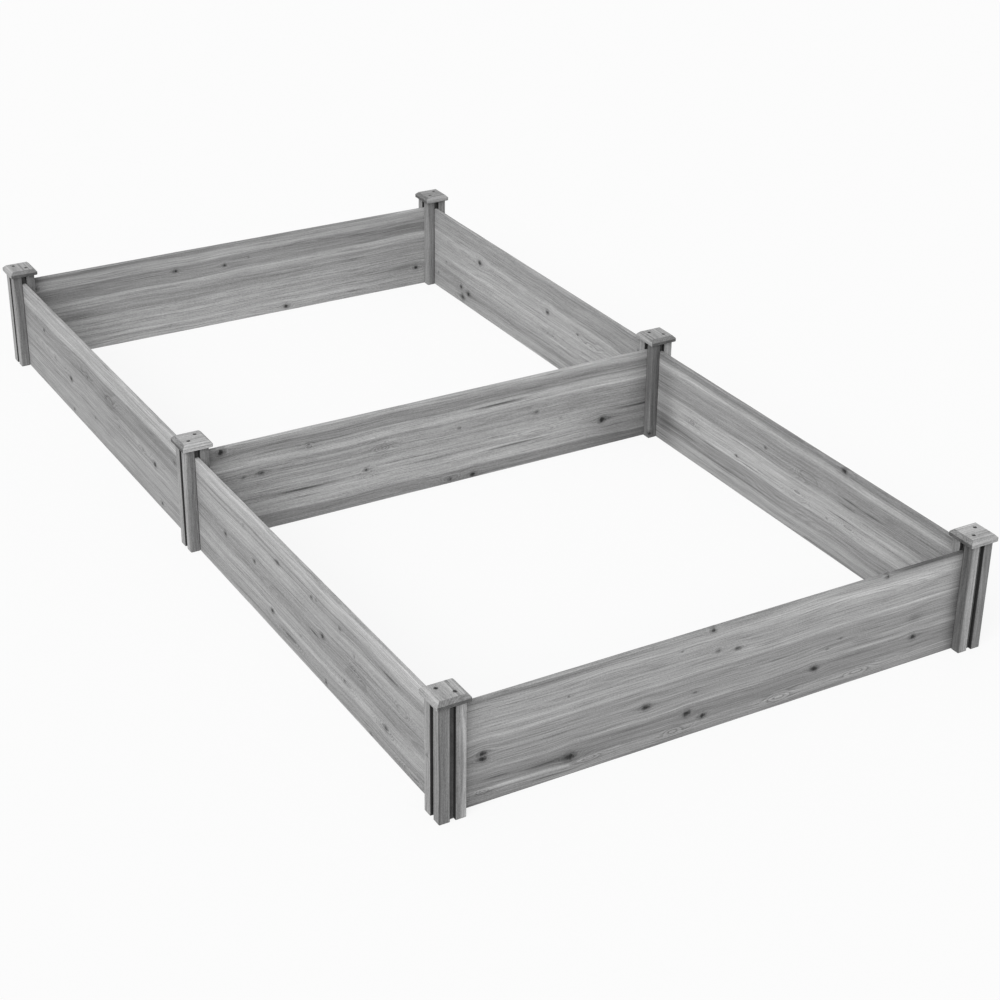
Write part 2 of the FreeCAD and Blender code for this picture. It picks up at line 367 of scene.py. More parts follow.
KNOT_LEAN = 0.35           # along the grain per depth, as a branch leans
KNOT_SLANT = 0.5           # the most that a knot is slanted, in radians
KNOT_LONG = (1.05, 1.5)    # its length over its height
KNOT_PALEST = 0.62         # the nearness at the heart of a tiny knot
LARGE_KNOT = 7.0           # a radius from which the heart is black
FLOW_REACH = 3.2           # in knot radii along the grain
FLOW_ACROSS = 2.4          # in knot radii across it
FLOW_TURN = 0.6            # in knot radii: how soon the grain is pushed in full beside the middle
RING_PUSH = (1.6, 5)       # in knot radii outwards, and the square of its reach
TAIL_REACH = 2.4           # in knot radii along the grain
TAIL_WIDE = 0.55           # in knot radii across it
TAIL_DARK = 0.26           # of a large knot's tail
TAIL_SHARES = (0.3, 1)     # the range of what each side of it gets
OVAL_RINGS = 3.2           # rings inside an oval
OVAL_FADE = 1.5            # where it gives way to the other rings, in its own sizes


def swell(x, lengths, height, random):
    """A slow curve: sine waves of the given lengths with random phases, height tall in all."""
    phases = random.uniform(0, 2 * math.pi, len(lengths))
    waves = [np.sin(2 * math.pi * x / length + phase) for length, phase in zip(lengths, phases)]
    return height * sum(waves) / math.sqrt(len(lengths))


def soft_spot(along, height, at, up, long, tall):
    """A rounded hump: one at its centre, falling as the bell curve of the scaled distance."""
    return np.exp(-((along - at) / long) ** 2 - ((height - up) / tall) ** 2)


# %% Knots and staves


def around_knots(along, depth, height, knots, random):
    """What knots do to the wood: their nearness (about a half at the rim, most at the heart), how
    far they push the grain aside and the rings out, and the smoke of their tails."""
    nearness, aside_push, ring_push, smoke = np.zeros((4, len(along)))
    for at, up, radius in knots:
        aside = height - up
        leaned = along - at - KNOT_LEAN * depth
        slant, long = random.uniform(-KNOT_SLANT, KNOT_SLANT), random.uniform(*KNOT_LONG)
        lengthwise = leaned * math.cos(slant) + aside * math.sin(slant)
        crosswise = aside * math.cos(slant) - leaned * math.sin(slant)
        distance = np.hypot(lengthwise / long, crosswise) / radius
        black = min(1, KNOT_PALEST + (1 - KNOT_PALEST) * radius / LARGE_KNOT)
        nearness = np.maximum(nearness, black * np.exp2(-distance ** 2))
        passing = np.exp(-(leaned / (FLOW_REACH * radius)) ** 2 - np.abs(aside) / (FLOW_ACROSS * radius))
        tail = np.exp(-np.abs(leaned) / (TAIL_REACH * radius) - (aside / (TAIL_WIDE * radius)) ** 2)
        tail *= np.where(leaned > 0, random.uniform(*TAIL_SHARES), random.uniform(*TAIL_SHARES))
        smoke += TAIL_DARK * min(1, radius / LARGE_KNOT) * tail
        aside_push += radius * np.tanh(aside / (FLOW_TURN * radius)) * passing
        ring_push += RING_PUSH[0] * radius * np.exp(-distance ** 2 / RING_PUSH[1])
    return nearness, aside_push, ring_push, smoke


def stave_fields(share, height, wander, staves, random):
    """Each point's stave number, its tone, and the height of the pith that the stave was cut by."""
    stave_number, pith = np.zeros((2, len(height)))
    tone = np.ones_like(height)
    below = 1.0
    for number, (low_start, low_end, shade) in enumerate(staves):
        joint = low_start + (low_end - low_start) * share + wander
        above = 0.5 + 0.5 * np.tanh((height - joint) / STAVE_BLUR)
        tone += (shade - below) * above
        below = shade
        stave_number = np.where(above > 0.5, number, stave_number)
        pith = np.where(above > 0.5, joint + random.uniform(*PITH_ABOVE), pith)
    return stave_number, tone, pith


# %% Fields of the wood


def wood_fields(along, depth, height, wear, figure, seed):
    """The attributes of one piece of wood from each point's place in it, in millimetres: where the
    point lay in the wood, the distance to the pith, a tone, and how near a knot, arris or oval is."""
    random = np.random.default_rng(seed)
    share = (along - along.min()) / (along.max() - along.min())
    wander = swell(along, *WANDER, random)
    flow = wander + swell(height + RIPPLE_DRIFT * along, *RIPPLE, random)
    nearness, aside_push, ring_push, smoke = around_knots(along, depth, height, figure["knots"], random)
    flow += aside_push
    settled = height - flow

    followed = height - STAVE_FOLLOWS * flow
    stave_number, tone, pith = stave_fields(share, followed, wander, figure["staves"], random)
    for low_start, low_end, wide, change in figure["streaks"]:
        middle = low_start + (low_end - low_start) * share
        strength = change * (STREAK_SHARE + swell(along, *STREAK_FADE, random))
        tone += strength * np.exp(-((settled - middle) / wide) ** 2)
    for at, up, long, wide, change in figure["marks"]:
        tone += change * soft_spot(along, height - MARK_FOLLOWS * flow, at, up, long, wide)
    tone = np.clip(tone - smoke, *TONE_LIMITS) ** EYE_TO_LIGHT

    behind = PITH_BEHIND + swell(along, *PITH_SWING, random) + depth
    ring = np.hypot(settled - pith, behind) + ring_push
    vivid = np.zeros_like(along)
    for at, up, long, tall in figure["ovals"]:
        around = soft_spot(along, height, at, up, OVAL_FADE * long, OVAL_FADE * tall)
        inside = OVAL_RINGS * RING_PITCH / MM * soft_spot(along, height, at, up, long, tall)
        ring += around * (PITH_BEHIND + inside - ring)
        vivid = np.maximum(vivid, around)

    away = STAVE_APART * stave_number + random.uniform(0, PIECES_WITHIN)
    place = np.stack([along, depth, settled], 1) + np.outer(away, APART)
    return {"grain_place": place * MM, "ring": ring * MM, "tone": tone, "knot": nearness,
            "wear": wear, "vivid": vivid}


# %% [markdown]
# ## One timber
#
# A timber takes its length and its section from the CAD node's own box, so it
# sits exactly where the node sits.  Its long side runs along X, Y or Z, and the
# piece's own axes (along, depth, height) turn with it.  The surface is not quite
# flat: planed fir keeps a slight wave, and its knots stand a little proud.

# %% Helpers for a timber
OWN_AXES = {
    "x": ((1, 0, 0), (0, 1, 0), (0, 0, 1)),
    "y": ((0, 1, 0), (-1, 0, 0), (0, 0, 1)),
    "z": ((0, 0, 1), (1, 0, 0), (0, 1, 0)),
}
END_EASE = 0.8             # how much a timber's section shrinks at its ends, and over what length
KNOT_PROUD = 0.22          # how far a knot stands out
KNOT_RISE = (0.3, 0.8)     # the nearness where it starts to stand out, and where it is full
WAVE_LENGTHS = (330, 170)  # of the slight wave along a face
WAVE_TURN = (31, 400)      # how far up and how far along the wave's phase turns by a radian
WEAR_REACH = 2.2           # how far the wear of an arris goes into the faces
GROOVE_SHADE_EDGE = (0.2, 1.4)   # painted shade behind a face in a groove: where it starts to fade, and where it is gone
GROOVE_PAINTED_SHADE = 0.10         # the share of the tone that the painted shade leaves on that face
made_triangles = 0


def own_box(node, direction):
    """The turn from the bed's axes to the piece's own, and its box's low and high corners."""
    turn = np.array(OWN_AXES[direction], float)
    corners = np.array([list(corner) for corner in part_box(node)]) / MM @ turn.T
    return turn, corners.min(0), corners.max(0)


def eased_stations(low, high, step):
    """Places along a timber, with one more inside each end where its ease stops, and how much the
    section shrinks at each place."""
    evened = evenly(low, high, step)
    stations = np.r_[low, low + END_EASE, evened[1:-1], high - END_EASE, high]
    inset = np.zeros(len(stations))
    inset[[0, -1]] = END_EASE
    return stations, inset


def put_attributes(mesh, fields):
    """Stores numbers or vectors on the mesh's points, under the given names."""
    for name, values in fields.items():
        vector = values.ndim == 2
        stored = mesh.attributes.new(name, "FLOAT_VECTOR" if vector else "FLOAT", "POINT")
        stored.data.foreach_set("vector" if vector else "value", values.astype(np.float32).ravel())


def stand_in(node, points, faces, fields):
    """Makes a mesh of sawn fir, and lets it take the place of the frame's own piece."""
    mesh = bpy.data.meshes.new(node + "_wood")
    mesh.from_pydata(points.tolist(), [], faces)
    mesh.shade_smooth()
    put_attributes(mesh, fields)
    mesh.materials.append(sawn_fir)
    piece = bpy.data.objects.new(node + "_wood", mesh)
    bpy.context.scene.collection.objects.link(piece)
    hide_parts(node)
    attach(piece, "root")
    return piece


# %% Building a timber


def timber(node, direction, radius, steps, figure, seed, wave, inner=(0, 0)):
    """Stands a numpy timber in a CAD node's place: a rounded rectangle carried along the node's
    length, eased at both ends, with a slight wave and proud knots.  An upright one's height is
    measured round its arris, half its depth less half its breadth, and its sides that face a
    groove, on the inner side of each axis, get painted shade: their tone is darkened as the
    shade in the groove would darken them.  Sizes are in millimetres."""
    global made_triangles
    turn, low, high = own_box(node, direction)
    middle, size = (low + high) / 2, high - low
    loop, normals, inside = rounded_section(size[1], size[2], radius, steps[1])
    stations, inset = eased_stations(low[0], high[0], steps[0])

    count = len(stations)
    along = np.r_[np.repeat(stations, len(loop)), stations[[0, -1]]]
    outward = np.concatenate([np.tile(normals, (count, 1)), np.zeros((2, 2))])
    section = np.concatenate([np.tile(loop, (count, 1)), np.zeros((2, 2))])
    section -= outward * np.r_[np.repeat(inset, len(loop)), 0, 0][:, None]
    worn = np.r_[np.tile(np.exp(-inside / WEAR_REACH), count), 0, 0]
    depth, height = section[:, 0], section[:, 1] + middle[2]
    if direction == "z":
        depth, height = (section[:, 0] + section[:, 1]) / 2, (section[:, 0] - section[:, 1]) / 2
    fields = wood_fields(along, depth, height, worn, figure, seed)
    # Painted shade: the sides that face a groove are darkened.
    for axis, sign in enumerate(inner):
        from_face = size[1 + axis] / 2 - sign * section[:, axis]
        fields["tone"] = fields["tone"] * np.interp(from_face, GROOVE_SHADE_EDGE, (GROOVE_PAINTED_SHADE, 1))

    random = np.random.default_rng(seed + 1)
    uneven = swell(along, WAVE_LENGTHS, wave, random)
    uneven *= np.cos(height / WAVE_TURN[0] + along / WAVE_TURN[1])
    uneven += KNOT_PROUD * np.interp(fields["knot"], KNOT_RISE, (0, 1))
    section += outward * uneven[:, None]
    points = np.stack([along, section[:, 0] + middle[1], section[:, 1] + middle[2]], 1) @ turn * MM
    faces = swept_faces(count, len(loop))
    made_triangles += sum(len(face) - 2 for face in faces)
    return stand_in(node, points, faces, fields)


# %% [markdown]
# ## The seven boards
#
# Each board is glued up from four to seven staves.  Their joints show as changes
# of tone, often with a pale streak of sapwood beside them.  The places of staves,
# streaks, marks, knots and ovals are real ones, in millimetres: along the board
# in the bed's own frame, and up from the ground.
#
# - staves: where the stave starts at the board's low end and at its high end, and its tone
# - streaks: height at the low end, at the high end, half width, change of tone
# - marks: along, up, half length, half width, change of tone; a few are painted shade beside the posts
# - knots: along, up, radius
# - ovals: along, up, half length, half height

# %% The near board
NEAR_BOARD = {
    "staves": [(0, 0, 0.93), (28, 28, 0.86), (64, 59, 0.94), (127, 135, 0.99)],
    "streaks": [(4, 4, 6, -0.10), (25, 25, 3, 0.05), (67, 69, 3.5, 0.13), (130, 138, 3, 0.12)],
    # Painted shade among the marks: (450, 213) and (480, 218) darken the top edge by the right post, where
    # the gap beside it is in shadow, and (566, 110) and (-562, 110) darken both ends beside the posts.
    "marks": [(180, 204, 130, 7, 0.12), (430, 191, 190, 9, 0.19), (450, 213, 120, 4, -0.12),
              (0, 173, 700, 6, 0.04), (-110, 20, 45, 7, 0.05), (130, 20, 60, 7, 0.08),
              (315, 20, 60, 7, 0.06), (-400, 113, 160, 7, -0.05), (-420, 211, 190, 2.2, -0.22),
              (-420, 26, 110, 4, 0.16), (-330, 41, 120, 8, -0.08), (-150, 170, 70, 1.6, -0.22),
              (-60, 152, 45, 1.8, -0.18), (448, 101, 16, 8, -0.14), (50, 151, 34, 1.6, 0.24),
              (42, 114, 30, 1.6, 0.22), (-200, 56, 45, 2.2, -0.14), (320, 60, 60, 4, -0.08),
              (-480, 46, 30, 2.2, -0.22), (-385, 41, 45, 3.2, -0.24), (-370, 12, 55, 1.6, -0.24),
              (-400, 150, 60, 1.6, 0.10), (480, 218, 110, 3, -0.38), (566, 110, 26, 150, -0.40),
              (-562, 110, 8, 150, -0.16), (380, 92, 35, 1.6, -0.16), (250, 95, 40, 1.8, -0.12),
              (-470, 26, 40, 2, 0.12)],
    "knots": [(-508, 104, 7), (-508, 93, 6.5), (-330, 38, 9.5), (-170, 92, 7), (-78, 50, 7.2),
              (-43, 34, 6.5), (212, 58, 6.8), (450, 58, 6.8), (-16, 165, 4.5), (28, 158, 4.8),
              (-335, 167, 2.6), (-62, 90, 2.6), (-96, 188, 2.2), (-30, 213, 6), (370, 214, 4.5),
              (270, 107, 2.6), (240, 93, 2.8)],
    "ovals": [(-510, 25, 16, 6), (-290, 22, 32, 6), (-110, 20, 25, 9), (130, 20, 36, 9),
              (315, 20, 40, 8)],
}

# %% The divider and the far board
DIVIDER_BOARD = {
    "staves": [(0, 0, 0.86), (36, 24, 1.06), (100, 92, 1.00), (158, 152, 1.10), (180, 176, 0.92),
               (203, 203, 1.04)],
    "streaks": [(162, 155, 4, 0.10), (178, 176, 3, 0.05), (212, 210, 3, 0.07), (99, 98, 3, 0.04),
                (40, 28, 3, 0.05), (66, 60, 4, 0.04)],
    # Painted shade among the marks: (470, 60), (500, 25) and (572, 110) darken the right end, in the corner
    # by the post.
    "marks": [(-335, 76, 62, 2.2, -0.58), (158, 168, 58, 2.2, -0.60), (535, 86, 75, 2.4, -0.40),
              (200, 59, 70, 2.2, -0.42), (470, 60, 90, 45, -0.16), (500, 25, 110, 30, -0.12),
              (572, 110, 50, 130, -0.25), (430, 66, 110, 9, -0.08), (300, 209, 300, 6, 0.07),
              (450, 192, 150, 12, 0.06), (0, 101, 700, 5, 0.05), (300, 4, 300, 5, -0.08),
              (-120, 205, 60, 1.6, -0.20), (-180, 62, 90, 1.8, 0.10), (250, 92, 60, 2, 0.12),
              (-300, 84, 60, 1.6, -0.16), (0, 72, 60, 1.8, -0.14), (-470, 80, 60, 1.8, -0.20),
              (90, 62, 60, 5, 0.07), (330, 72, 60, 3, 0.09)],
    "knots": [(-518, 207, 9), (-427, 138, 5.4), (-178, 84, 5.2), (258, 127, 4.2), (437, 67, 8.6),
              (92, 8, 6.5), (32, 10, 4.5), (56, 132, 3.2), (322, 98, 2.6), (-130, 142, 2.6),
              (-315, 178, 3), (-470, 136, 3.4)],
    "ovals": [(-315, 172, 16, 8), (-140, 128, 22, 9), (-175, 66, 16, 5), (260, 75, 34, 5),
              (32, 10, 18, 7)],
}
FAR_BOARD = {
    "staves": [(0, 0, 1.03), (82, 92, 0.945), (114, 132, 1.05), (137, 151, 0.905), (177, 193, 1.03),
               (204, 216, 0.87)],
    "streaks": [(80, 93, 4, 0.08), (132, 146, 4, 0.06), (182, 197, 4, 0.08), (56, 64, 3, 0.06),
                (22, 35, 3, 0.06)],
    # Painted shade among the marks: (490, 165), (490, 70), (480, 22) and (-560, 170) darken the ends beside
    # the posts.
    "marks": [(-440, 98, 50, 5, -0.15), (480, 55, 60, 8, -0.15), (490, 165, 90, 20, -0.05),
              (490, 70, 120, 40, -0.07), (480, 22, 140, 18, -0.07), (300, 5, 300, 6, -0.08),
              (-470, 165, 120, 20, -0.04), (-560, 170, 30, 60, -0.08), (320, 138, 30, 4, -0.10)],
    "knots": [(-173, 169, 5.5), (-36, 160, 5), (135, 12, 6), (528, 50, 6.5), (-545, 190, 5.5),
              (32, 170, 2.6)],
    "ovals": [],
}

# %% The left boards
LEFT_NEAR_BOARD = {
    "staves": [(0, 0, 0.955), (36, 40, 1.01), (75, 88, 0.905), (97, 108, 0.97), (150, 140, 1.01),
               (186, 188, 1.13)],
    "streaks": [(152, 148, 4, 0.06), (140, 138, 3, 0.04), (67, 68, 4, 0.05), (43, 50, 4, 0.05),
                (178, 184, 1.8, -0.15), (167, 170, 1.8, -0.12), (196, 196, 3, -0.03)],
    "marks": [(-905, 170, 30, 1.8, -0.42), (-592, 97, 22, 1.8, -0.42), (-790, 55, 100, 6, 0.07),
              (-430, 107, 50, 2.2, -0.18), (-478, 28, 45, 2.4, -0.30), (-880, 48, 40, 2, -0.16),
              (-960, 100, 60, 3, -0.10), (-230, 70, 60, 4, 0.08), (-860, 70, 180, 15, -0.08),
              (-850, 175, 180, 14, -0.06), (-420, 165, 160, 12, 0.05), (-540, 137, 700, 6, 0.05),
              (-420, 41, 100, 6, -0.05)],
    "knots": [(-705, 165, 4.5), (-585, 170, 4.5), (-605, 175, 3.2), (-432, 170, 4.5), (-268, 176, 3),
              (-764, 136, 3.6), (-629, 108, 6.5), (-318, 117, 5.5), (-172, 110, 6), (-888, 53, 6),
              (-398, 44, 6.2), (-640, 11, 4.5), (-827, 5, 3.4), (-722, 58, 3), (-530, 56, 2.4)],
    "ovals": [(-885, 54, 24, 9), (-730, 60, 30, 8), (-770, 103, 22, 9), (-950, 122, 22, 9),
              (-990, 15, 32, 7), (-480, 26, 36, 6)],
}
LEFT_FAR_BOARD = {
    "staves": [(0, 0, 0.97), (90, 78, 0.97), (122, 112, 0.90), (178, 168, 1.07)],
    "streaks": [(84, 76, 3, 0.06), (52, 42, 3, 0.06), (121, 111, 3, 0.06), (186, 184, 3, 0.05),
                (25, 22, 4, 0.03)],
    "marks": [(180, 158, 130, 8, -0.07), (490, 140, 35, 28, -0.07), (300, 130, 200, 6, -0.05),
              (560, 52, 60, 3, -0.10), (380, 92, 60, 6, -0.06), (170, 72, 40, 3, -0.08),
              (950, 206, 150, 12, -0.06), (180, 149, 120, 6, 0.06), (950, 130, 160, 14, 0.05),
              (750, 54, 220, 6, -0.05)],
    "knots": [(215, 97, 7), (750, 90, 7.5), (930, 148, 5.5), (630, 142, 4.5), (185, 15, 5),
              (745, 12, 4.5), (95, 155, 4.5), (285, 103, 3.4), (430, 98, 2.8), (595, 52, 3.2),
              (858, 104, 3.6)],
    "ovals": [(490, 140, 28, 16), (640, 142, 32, 9), (290, 103, 24, 6)],
}

# %% The right boards
RIGHT_NEAR_BOARD = {
    "staves": [(0, 0, 0.96), (25, 28, 1.0), (34, 36, 0.94), (71, 75, 1.10), (127, 127, 0.965),
               (184, 186, 1.06), (204, 204, 0.91)],
    "streaks": [(27, 28, 3, 0.07), (76, 77, 3, 0.06), (121, 122, 4, 0.04), (195, 196, 4, 0.05),
                (62, 60, 3, 0.05)],
    # Painted shade among the marks: (-60, 60) and (-50, 110) darken the end beside the middle post.
    "marks": [(-812, 151, 32, 1.8, -0.36), (-742, 151, 28, 1.8, -0.40), (-735, 135, 28, 1.6, -0.32),
              (-865, 163, 20, 8, -0.10), (-600, 150, 25, 6, -0.08), (-110, 55, 70, 5, -0.14),
              (-60, 60, 50, 60, -0.16), (-480, 96, 40, 3, -0.08), (-50, 110, 40, 100, -0.10),
              (-700, 198, 150, 7, -0.07), (-130, 184, 100, 14, 0.07), (-700, 4, 150, 5, -0.10)],
    "knots": [(-714, 213, 6), (-447, 151, 3.4), (-345, 87, 3.6), (-672, 82, 2.6), (-1000, 60, 6)],
    "ovals": [(-565, 97, 28, 10), (-170, 97, 22, 8), (-595, 150, 28, 9), (-740, 92, 24, 6)],
}
RIGHT_FAR_BOARD = {
    "staves": [(0, 0, 1.00), (32, 32, 0.89), (41, 40, 0.995), (66, 68, 1.07), (150, 162, 0.995)],
    "streaks": [(92, 102, 4, 0.09), (147, 162, 4, 0.09), (66, 70, 2, 0.04), (18, 18, 4, 0.02)],
    "marks": [(330, 133, 20, 5, -0.06), (700, 127, 60, 2, -0.08), (830, 128, 40, 2, -0.08),
              (960, 86, 60, 6, -0.08), (300, 70, 60, 3, -0.10), (330, 206, 90, 2, -0.06),
              (520, 151, 190, 5, 0.11), (1000, 128, 140, 16, -0.05), (1000, 70, 120, 12, -0.08),
              (480, 90, 90, 5, 0.05)],
    "knots": [(475, 133, 6.5), (822, 147, 7.5), (882, 37, 7.5), (922, 44, 6.5), (913, 18, 9),
              (60, 185, 4.5), (330, 126, 3.2), (1005, 88, 3), (1050, 42, 3.4), (180, 60, 6)],
    "ovals": [(270, 118, 32, 10), (460, 78, 36, 6), (260, 72, 26, 5)],
}

# %% Making the boards
BOARDS = {
    "near_board": ("x", NEAR_BOARD), "divider_board": ("x", DIVIDER_BOARD), "far_board": ("x", FAR_BOARD),
    "left_near_board": ("y", LEFT_NEAR_BOARD), "left_far_board": ("y", LEFT_FAR_BOARD),
    "right_near_board": ("y", RIGHT_NEAR_BOARD), "right_far_board": ("y", RIGHT_FAR_BOARD),
}
BOARD_ROUND = 1.0
BOARD_STEPS = (3.6, 1.7)   # along the board and round its section
BOARD_WAVE = 0.12
BOARD_SEED = 100
SEED_STEP = 10             # each timber's seed is ten on from the one before

for number, (node, (direction, figure)) in enumerate(BOARDS.items()):
    seed = BOARD_SEED + SEED_STEP * number
    made = timber(node, direction, BOARD_ROUND, BOARD_STEPS, figure, seed, BOARD_WAVE)
    print(made.name, len(made.data.polygons), "faces")

# %% [markdown]
# ## The posts
#
# A post is four square battens round a core that nobody sees but at the bottom of
# the free grooves.  The battens are cut from different lengths of wood, so each
# has a tone of its own.  Two of them have a small knot.
#
# A batten's height is measured round its near left arris, the one towards the
# camera: it rises over the near face and falls over the left one.  A stave that
# starts just past zero gives these two faces different tones, which are painted
# light and shade: each face is as light or as dark as the light that falls on it.

# %% The battens' wood
SIDES = ("left", "right")
POSTS = [f"{row}_{side}_post" for row in ("near", "mid", "far") for side in SIDES]
BATTENS = [(row, side) for row in ("near", "far") for side in SIDES]
INWARD = {"near": 1, "far": -1, "left": 1, "right": -1}
# Staves of each batten; a stave at 0.6 is painted light and shade, giving the near face and the left face
# different tones.
BATTEN_STAVES_AND_FACE_SHADE = {
    "near_left_post_batten_near_left": [(-30, -30, 0.89), (0.6, 0.6, 0.77)],
    "near_left_post_batten_near_right": [(-30, -30, 0.82), (6.0, 6.0, 1.00)],
    "near_left_post_batten_far_left": [(-30, -30, 0.93)],
    "near_right_post_batten_near_left": [(-30, -30, 0.64), (0.6, 0.6, 0.98)],
    "near_right_post_batten_near_right": [(-30, -30, 0.86), (4.0, 4.0, 0.72)],
    "mid_left_post_batten_near_left": [(-30, -30, 0.99), (0.6, 0.6, 0.75)],
    "mid_left_post_batten_near_right": [(-30, -30, 0.84)],
    "mid_right_post_batten_near_left": [(-30, -30, 0.70), (0.6, 0.6, 0.64)],
    "far_left_post_batten_near_left": [(-30, -30, 0.97), (0.6, 0.6, 0.76)],
    "far_left_post_batten_near_right": [(-30, -30, 0.78)],
    "far_right_post_batten_near_left": [(-30, -30, 0.90), (0.6, 0.6, 0.77)],
    "far_right_post_batten_near_right": [(-30, -30, 0.82)],
}
BATTEN_MARKS = {
    "near_left_post_batten_near_left": [(120, -0.6, 260, 1.3, -0.34)],
    "near_right_post_batten_near_left": [(120, -0.8, 260, 1.2, -0.12)],
}
BATTEN_KNOTS = {
    "near_left_post_batten_far_left": [(122, -5, 3)],
    "mid_right_post_batten_near_left": [(15, 1, 4.5)],
}


def batten_figure(node, tone, seed):
    """The figure of a batten: its own staves, marks and knots if it has any, three faint streaks
    and one soft mark."""
    random = np.random.default_rng(seed)
    soft_mark = (random.uniform(40, 200), 0, 60, 30, random.uniform(-0.05, 0.05))
    streaks = [(random.uniform(-9, 9), random.uniform(-9, 9), 1.5, random.uniform(-0.08, 0.08))
               for _ in range(3)]
    return {
        "staves": BATTEN_STAVES_AND_FACE_SHADE.get(node, [(-30, -30, tone)]), "streaks": streaks,
        "marks": [soft_mark] + BATTEN_MARKS.get(node, []),
        "knots": BATTEN_KNOTS.get(node, []), "ovals": [],
    }


# %% Making the battens
BATTEN_ROUND = 1.5
BATTEN_STEPS = (3.6, 1.9)
BATTEN_WAVE = 0.06
BATTEN_SEED = 400
FIGURE_SEED = 300
TONE_SEED = 7
PLAIN_TONES = (0.93, 1.04)

nodes = [(post, row, side) for post in POSTS for row, side in BATTENS]
tones = np.random.default_rng(TONE_SEED).uniform(*PLAIN_TONES, len(nodes))
for number, (post, row, side) in enumerate(nodes):
    node = f"{post}_batten_{row}_{side}"
    figure = batten_figure(node, tones[number], FIGURE_SEED + number)
    seed = BATTEN_SEED + SEED_STEP * number
    inner = (INWARD[side], INWARD[row])
    timber(node, "z", BATTEN_ROUND, BATTEN_STEPS, figure, seed, BATTEN_WAVE, inner)
print(len(nodes), "battens,", made_triangles, "triangles so far")

# %% [markdown]
# ## Wood on the frame's own pieces
#
# The cores and the caps keep the frame's shape, which is already right, screw
# holes and all.  They carry no attributes, so their place is worked out in the
# material: object coordinates, moved to the piece's own middle and turned so that
# the first axis runs along the grain.  The distance to the pith is then a length
# in the other two axes, and that gives arcs on the end grain and lines on top.

# %% Finishes for cores and caps
RING_SAG = 6 * MM          # how far rings stray along a piece
SAG_WAVES = (6.0, 20.0, 20.0)
MOTTLE_WAVES = (40.0, 40.0, 40.0)
MOTTLE = 0.3
FACING_END = (0.45, 0.9)   # how squarely a face looks along the grain, from side grain to end grain
CAP_VIVID = 0.3            # how much their rings stand out
NOISE_SHARE = 7.3          # of a piece's place that its noise is moved by,
NOISE_START = 1.7          # on top of this, in metres, so that no two pieces look alike
GRAIN_TURNS = {"x": (0, 0, 0), "y": (0, 0, math.pi / 2), "z": (0, -math.pi / 2, 0)}


def turned_finish(name, centre, grain, pith, tone, end_tone):
    """Weathered fir on a frame piece: place from object coordinates about centre, turned so that
    the first axis runs along the grain, rings about a line at pith (depth, height), all from the
    centre, and end grain where the surface faces along the grain."""
    material, tree = new_material(name)
    coordinates = add_node(tree, "ShaderNodeTexCoord").outputs
    inputs = {"Vector": coordinates["Object"], "Location": centre, "Rotation": GRAIN_TURNS[grain]}
    own = add_node(tree, "ShaderNodeMapping", inputs, vector_type="TEXTURE").outputs[0]
    parts = add_node(tree, "ShaderNodeSeparateXYZ", {0: own}).outputs
    sag = stretched_noise(tree, own, SAG_WAVES, 1.0)
    across = sum_node(tree, "SUBTRACT", parts[1], pith[0])
    across = sum_node(tree, "MULTIPLY_ADD", sag, RING_SAG, across)
    upward = sum_node(tree, "SUBTRACT", parts[2], pith[1])
    both = add_node(tree, "ShaderNodeCombineXYZ", {1: across, 2: upward}).outputs[0]
    ring = add_node(tree, "ShaderNodeVectorMath", {0: both}, operation="LENGTH").outputs["Value"]

    facing = {0: coordinates["Normal"], 1: OWN_AXES[grain][0]}
    facing = add_node(tree, "ShaderNodeVectorMath", facing, operation="DOT_PRODUCT").outputs["Value"]
    facing = sum_node(tree, "ABSOLUTE", facing)
    shade = spread(tree, facing, *FACING_END, tone, end_tone)
    shade = sum_node(tree, "MULTIPLY_ADD", stretched_noise(tree, own, MOTTLE_WAVES, 2.0), MOTTLE, shade)
    offset = [NOISE_SHARE * share + NOISE_START for share in centre]
    apart = add_node(tree, "ShaderNodeVectorMath", {0: own, 1: offset}, operation="ADD").outputs[0]
    wood_surface(tree, apart, ring, shade, NOWHERE, NOWHERE, CAP_VIVID)
    return material


def wear_material(node, material):
    """Gives a frame piece its finish."""
    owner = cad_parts[node]
    owner.data.materials.clear()
    owner.data.materials.append(material)


def middle_of(node):
    """The middle of a frame piece's box."""
    low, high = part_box(node)
    return (low + high) / 2


# %% Caps and cores
CAP_TONES = {
    "near_left_post": 1.18, "near_right_post": 1.22, "mid_left_post": 1.28,
    "mid_right_post": 1.02, "far_left_post": 1.08, "far_right_post": 0.90,
}
CAPS_ALONG_Y = ("near_left_post", "mid_right_post", "far_left_post")
CAP_END_TONE = 0.32
# The cores show only at the bottom of the grooves, so their tone is painted shade, far darker than the wood.
CORE_PAINTED_SHADE_TONE = 0.26
PITH_SEED = 11
pith_places = np.random.default_rng(PITH_SEED)

for post in POSTS:
    cap, core, strips = f"{post}_cap", f"{post}_core_board", f"{post}_core_strips"
    grain = "y" if post in CAPS_ALONG_Y else "x"
    pith = (pith_places.uniform(-30, 30) * MM, -pith_places.uniform(25, 50) * MM)
    finish = turned_finish(cap + "_fir", middle_of(cap), grain, pith, CAP_TONES[post], CAP_END_TONE)
    wear_material(cap, finish)
    finish = turned_finish(core + "_fir", middle_of(core), "z", pith, CORE_PAINTED_SHADE_TONE, CORE_PAINTED_SHADE_TONE)
    wear_material(core, finish)
    wear_material(strips, finish)
print(len(POSTS), "caps and", 2 * len(POSTS), "core nodes finished")

# %% [markdown]
# ## Screws
#
# The cap screws are the frame's own too, with their cross recess.  Their steel is
# blackened and a little uneven: metal gets its look from roughness and from what
# it mirrors, so a mottled roughness does more here than colour.

